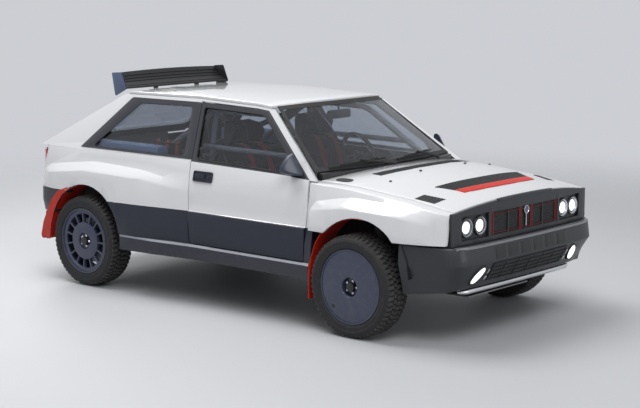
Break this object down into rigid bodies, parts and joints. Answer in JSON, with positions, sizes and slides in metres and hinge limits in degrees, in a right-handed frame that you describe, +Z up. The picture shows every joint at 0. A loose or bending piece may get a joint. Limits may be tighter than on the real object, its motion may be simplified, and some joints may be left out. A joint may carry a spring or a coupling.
{
  "type": "rally car",
  "caption": "Compact three-door rally hatchback with flared arches, roll cage, bucket seats, opening doors, bonnet and tailgate, and steered front wheels.",
  "frame": {"origin": "on the ground, under the middle of the car's length and width", "axes": "+X forward, +Y to the car's left, +Z up"},
  "size_m": [3.9, 1.82, 1.512],
  "materials": {
    "paint": "gloss white clear-coated",
    "cladding": "satin dark navy",
    "grey_plastic": "fine-grained dark grey moulding",
    "black_plastic": "fine-grained black moulding",
    "underbody": "matte blue-grey",
    "cast_metal": "rough cast",
    "black_steel": "satin black",
    "bright_metal": "brushed",
    "rim_paint": "satin blue-grey",
    "tyre": "matte rubber",
    "black_rubber": "matte",
    "red_flap": "satin red sheet",
    "seat_fabric": "black woven cover",
    "red_webbing": "woven webbing",
    "cage_paint": "satin grey",
    "glass": "clear, lightly tinted",
    "lamp_glass": "clear moulded lens",
    "red_lamp": "moulded red lens",
    "mirror": "silvered glass"
  },
  "bodies": {
    "car_body": {"floor_pan": "underbody", "right_quarter": "paint", "left_quarter": "paint", "right_side_frame": "paint", "left_side_frame": "paint", "sills": "cladding", "roof": "paint", "scuttle": "black_plastic", "right_fender": "paint", "left_fender": "paint", "front_panel": "grey_plastic", "grille": "black_plastic", "headlamps": "lamp_glass", "front_bumper": "grey_plastic", "fog_lamps": "lamp_glass", "guard_bar": "bright_metal", "rear_bumper": "grey_plastic", "tail_panel": "paint", "tail_lamps": "red_lamp", "windscreen": "glass", "quarter_glass": "glass", "engine": "cast_metal", "dashboard": "black_plastic", "driver_seat": "seat_fabric", "codriver_seat": "seat_fabric", "roll_cage": "cage_paint", "front_suspension": "black_steel", "rear_suspension": "black_steel", "sump_guard": "bright_metal", "mud_flaps": "red_flap", "exhaust": "bright_metal"},
    "left_door": {"left_door": "paint", "left_door_glass": "glass", "left_mirror": "black_plastic"},
    "right_door": {"right_door": "paint", "right_door_glass": "glass", "right_mirror": "black_plastic"},
    "bonnet": {"bonnet": "paint"},
    "tailgate": {"tailgate": "paint", "tailgate_glass": "glass", "rear_wing": "black_plastic"},
    "steering_wheel": {"steering_wheel": "black_rubber"},
    "left_knuckle": {"left_knuckle": "cast_metal"},
    "right_knuckle": {"right_knuckle": "cast_metal"},
    "front_left_wheel": {"front_left_rim": "rim_paint", "front_left_tyre": "tyre"},
    "front_right_wheel": {"front_right_rim": "rim_paint", "front_right_tyre": "tyre"},
    "rear_left_wheel": {"rear_left_rim": "rim_paint", "rear_left_tyre": "tyre"},
    "rear_right_wheel": {"rear_right_rim": "rim_paint", "rear_right_tyre": "tyre"}
  },
  "joints": [
    {"name": "left_door_hinge", "type": "hinge", "parent": "car_body", "child": "left_door", "pos_m": [0.772, 0.856, 0.65], "axis": [0, 0, -1], "range_deg": [0, 65]},
    {"name": "right_door_hinge", "type": "hinge", "parent": "car_body", "child": "right_door", "pos_m": [0.772, -0.856, 0.65], "axis": [0, 0, 1], "range_deg": [0, 65]},
    {"name": "bonnet_hinge", "type": "hinge", "parent": "car_body", "child": "bonnet", "pos_m": [0.8095, 0, 0.994], "axis": [0, -1, 0], "range_deg": [0, 50]},
    {"name": "tailgate_hinge", "type": "hinge", "parent": "car_body", "child": "tailgate", "pos_m": [-1.1488, 0, 1.382], "axis": [0, 1, 0], "range_deg": [0, 65]},
    {"name": "steer_left", "type": "hinge", "parent": "car_body", "child": "left_knuckle", "pos_m": [1.19, 0.7855, 0.3235], "axis": [0, 0, 1], "range_deg": [-28, 28]},
    {"name": "steer_right", "type": "hinge", "parent": "car_body", "child": "right_knuckle", "pos_m": [1.19, -0.7855, 0.3235], "axis": [0, 0, 1], "range_deg": [-28, 28]},
    {"name": "steering_turn", "type": "hinge", "parent": "car_body", "child": "steering_wheel", "pos_m": [0.23, 0.365, 0.946], "axis": [-0.9135, 0, 0.4067], "range_deg": [-340, 340]},
    {"name": "front_left_spin", "type": "hinge", "parent": "left_knuckle", "child": "front_left_wheel", "pos_m": [1.19, 0.7975, 0.3235], "axis": [0, 1, 0], "continuous": true},
    {"name": "front_right_spin", "type": "hinge", "parent": "right_knuckle", "child": "front_right_wheel", "pos_m": [1.19, -0.7975, 0.3235], "axis": [0, 1, 0], "continuous": true},
    {"name": "rear_left_spin", "type": "hinge", "parent": "car_body", "child": "rear_left_wheel", "pos_m": [-1.29, 0.7975, 0.3235], "axis": [0, 1, 0], "continuous": true},
    {"name": "rear_right_spin", "type": "hinge", "parent": "car_body", "child": "rear_right_wheel", "pos_m": [-1.29, -0.7975, 0.3235], "axis": [0, 1, 0], "continuous": true}
  ],
  "couplings": [
    {"joint": "steer_right", "follows": "steer_left", "ratio": 1},
    {"joint": "steering_turn", "follows": "steer_left", "ratio": 12}
  ]
}
